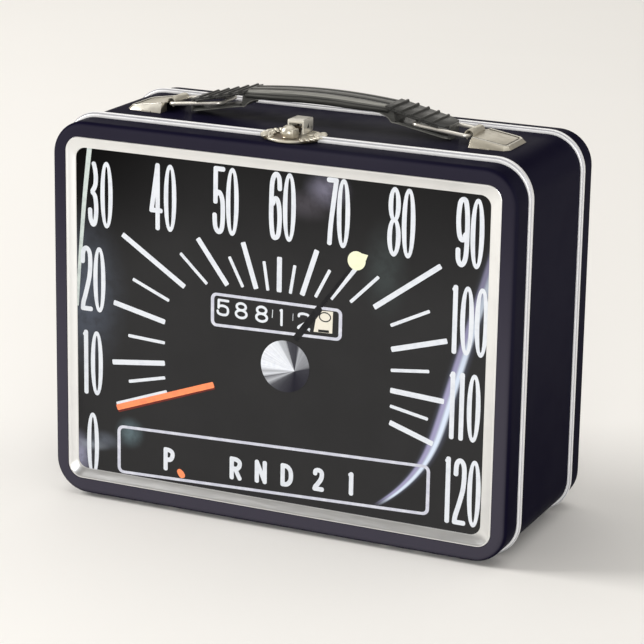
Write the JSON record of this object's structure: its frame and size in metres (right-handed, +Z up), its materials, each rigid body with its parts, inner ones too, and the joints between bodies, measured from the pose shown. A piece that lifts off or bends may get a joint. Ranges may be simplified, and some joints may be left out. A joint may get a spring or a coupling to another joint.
{
  "type": "tin lunch box",
  "caption": "Tin lunch box with a bottom-hinged lid, a framed dial picture, a hasp latch and a lifting plastic handle on wire links.",
  "frame": {"origin": "on the ground under the middle of the closed box's bounding box", "axes": "+X to the right seen from the lid, +Y from the lid to the back, +Z up"},
  "size_m": [0.2026, 0.086, 0.1723],
  "materials": {
    "navy_enamel": "satin enamel with worn edges",
    "bare_tin": "satin tinplate",
    "picture_print": "printed and varnished",
    "aged_nickel": "aged nickel plate",
    "bright_wire": "drawn and plated wire",
    "handle_plastic": "moulded, semi-gloss"
  },
  "bodies": {
    "case": {"case_band": "navy_enamel", "case_neck": "bare_tin", "back_shell": "navy_enamel", "back_bezel": "bare_tin", "back_plate": "picture_print", "back_rim_bead": "bare_tin", "hinge_leaves_case": "bare_tin", "hinge_pins": "bright_wire", "hinge_rivets_case": "bare_tin", "bracket_left": "aged_nickel", "bracket_right": "aged_nickel", "latch_plate_case": "aged_nickel", "latch_rivets_case": "aged_nickel", "latch_pin": "bright_wire"},
    "lid": {"lid_shell": "navy_enamel", "lid_bezel": "bare_tin", "lid_picture_plate": "picture_print", "lid_rim_bead": "bare_tin", "hinge_leaves_lid": "bare_tin", "hinge_rivets_lid": "bare_tin", "latch_plate_lid": "aged_nickel", "latch_rivets_lid": "aged_nickel", "latch_catch": "aged_nickel"},
    "hasp": {"latch_hasp": "aged_nickel"},
    "handle": {"handle_grip": "handle_plastic"},
    "left_link": {"link_left": "bright_wire"},
    "right_link": {"link_right": "bright_wire"}
  },
  "joints": [
    {"name": "lid_hinge", "type": "hinge", "parent": "case", "child": "lid", "pos_m": [0, -0.0291, 0.0013], "axis": [1, 0, 0], "range_deg": [0, 80]},
    {"name": "hasp_hinge", "type": "hinge", "parent": "case", "child": "hasp", "pos_m": [0, -0.018, 0.16095], "axis": [-1, 0, 0], "range_deg": [0, 90]},
    {"name": "handle_lift", "type": "slide", "parent": "case", "child": "handle", "axis": [0, 0, 1], "range_m": [0, 0.02]},
    {"name": "right_link_hinge", "type": "hinge", "parent": "case", "child": "right_link", "pos_m": [0.0653, 0, 0.1617], "axis": [0, 1, 0], "range_deg": [0, 53]},
    {"name": "left_link_hinge", "type": "hinge", "parent": "case", "child": "left_link", "pos_m": [-0.0653, 0, 0.1617], "axis": [0, -1, 0], "range_deg": [0, 53]}
  ],
  "couplings": [
    {"joint": "right_link_hinge", "follows": "handle_lift", "rad_per_m": 45.9},
    {"joint": "left_link_hinge", "follows": "handle_lift", "rad_per_m": 45.9}
  ]
}
